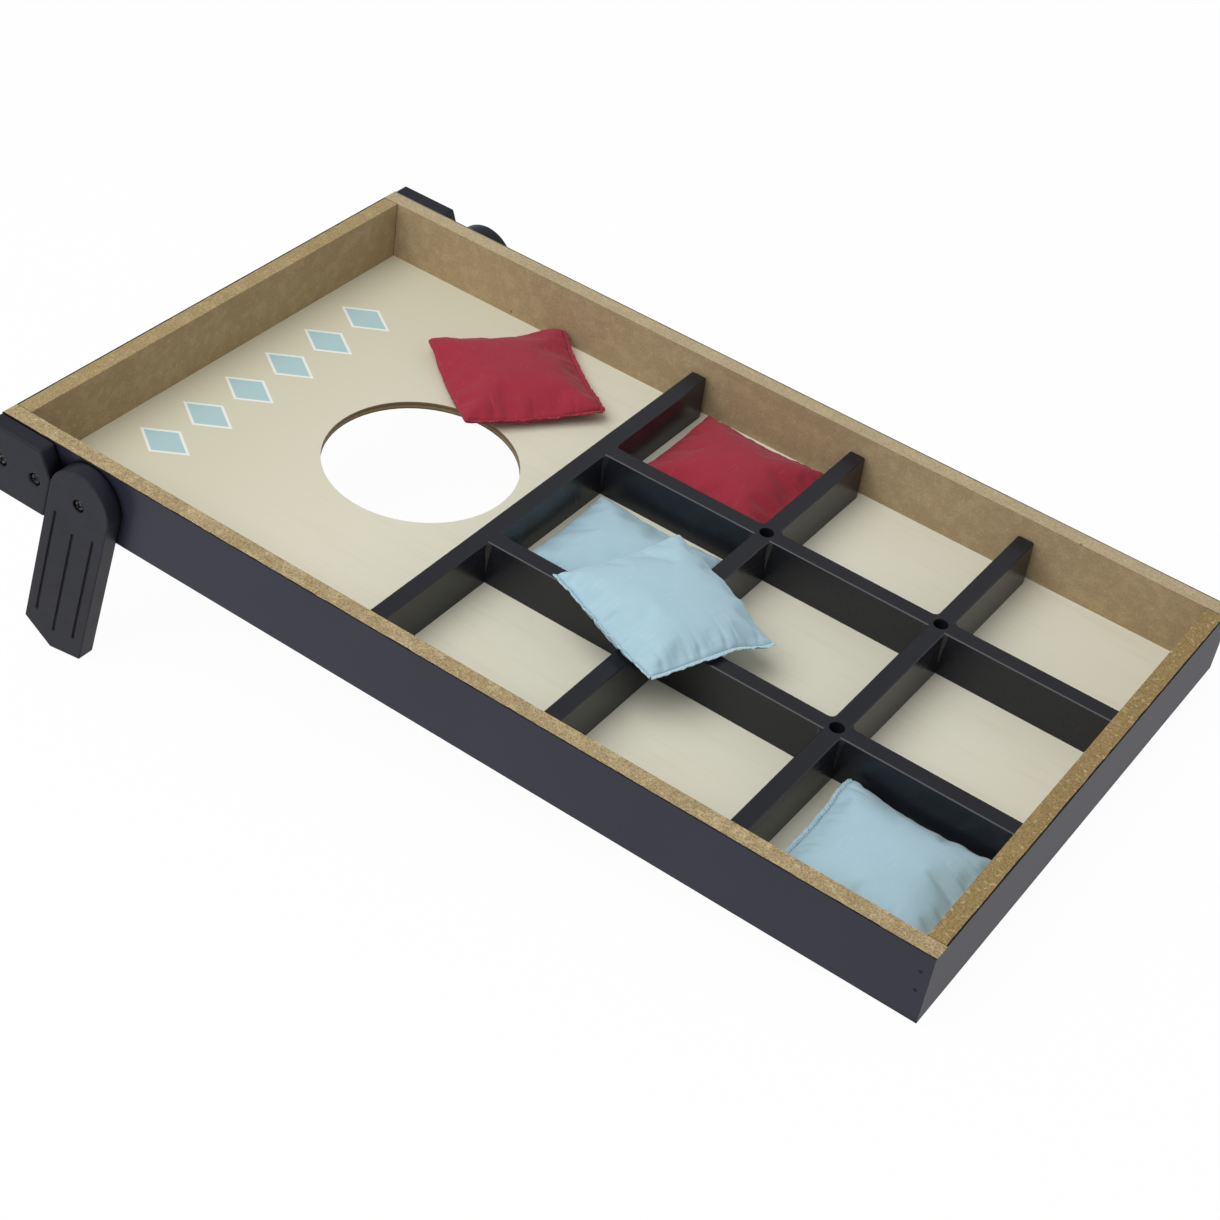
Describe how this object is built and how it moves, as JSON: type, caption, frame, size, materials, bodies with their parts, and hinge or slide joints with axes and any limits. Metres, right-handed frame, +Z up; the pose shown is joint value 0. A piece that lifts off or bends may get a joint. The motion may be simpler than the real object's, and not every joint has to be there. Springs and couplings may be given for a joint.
{
  "type": "toss and tic-tac-toe game",
  "caption": "Shallow wooden tray on folding legs, with a round toss hole at the raised end, a moulded grid of square pockets at the low end and loose bean bags to throw.",
  "frame": {"origin": "on the ground, under the middle of the whole part as it stands on its legs", "axes": "+X from the raised head end to the foot end, +Y from the near to the far side, +Z up"},
  "size_m": [0.659, 0.4036, 0.1594],
  "materials": {
    "rail_board": "raw fibreboard inside and on top, slate-black film outside",
    "base_board": "pale washed plywood",
    "grid_plastic": "satin black",
    "slate_paint": "matte slate-black paint",
    "black_screw": "black oxide",
    "brad_steel": "plain wire",
    "red_fabric": "plain woven cotton",
    "blue_fabric": "plain woven cotton",
    "pellets": "loose pellets"
  },
  "bodies": {
    "board": {"near_side_rail": "rail_board", "far_side_rail": "rail_board", "head_rail": "rail_board", "foot_rail": "rail_board", "base_board": "base_board", "grid_divider": "grid_plastic", "grid_screws": "black_screw", "near_stop_block": "slate_paint", "far_stop_block": "slate_paint", "near_stop_screws": "black_screw", "far_stop_screws": "black_screw", "near_pivot_screw": "black_screw", "far_pivot_screw": "black_screw", "head_corner_brads": "brad_steel", "foot_corner_brads": "brad_steel", "base_brads": "brad_steel"},
    "near_leg": {"near_leg": "slate_paint"},
    "far_leg": {"far_leg": "slate_paint"},
    "landed_red_bag": {"landed_red_bag_cover": "red_fabric", "landed_red_bag_filling": "pellets"},
    "pocket_red_bag": {"pocket_red_bag_cover": "red_fabric", "pocket_red_bag_filling": "pellets"},
    "under_blue_bag": {"under_blue_bag_cover": "blue_fabric", "under_blue_bag_filling": "pellets"},
    "upper_blue_bag": {"upper_blue_bag_cover": "blue_fabric", "upper_blue_bag_filling": "pellets"},
    "corner_blue_bag": {"corner_blue_bag_cover": "blue_fabric", "corner_blue_bag_filling": "pellets"}
  },
  "joints": [
    {"name": "near_leg_fold", "type": "hinge", "parent": "board", "child": "near_leg", "pos_m": [-0.25139, -0.1895, 0.12246], "axis": [0, -1, 0], "range_deg": [0, 102]},
    {"name": "far_leg_fold", "type": "hinge", "parent": "board", "child": "far_leg", "pos_m": [-0.25139, 0.1895, 0.12246], "axis": [0, -1, 0], "range_deg": [0, 102]},
    {"name": "landed_red_lift", "type": "slide", "parent": "board", "child": "landed_red_bag", "axis": [0.1676, 0, 0.9859], "range_m": [0, 0.12]},
    {"name": "pocket_red_lift", "type": "slide", "parent": "board", "child": "pocket_red_bag", "axis": [0.1676, 0, 0.9859], "range_m": [0, 0.12]},
    {"name": "under_blue_lift", "type": "slide", "parent": "board", "child": "under_blue_bag", "axis": [0.1676, 0, 0.9859], "range_m": [0, 0.12]},
    {"name": "upper_blue_lift", "type": "slide", "parent": "under_blue_bag", "child": "upper_blue_bag", "axis": [0.1676, 0, 0.9859], "range_m": [0, 0.12]},
    {"name": "corner_blue_lift", "type": "slide", "parent": "board", "child": "corner_blue_bag", "axis": [0.1676, 0, 0.9859], "range_m": [0, 0.12]}
  ]
}
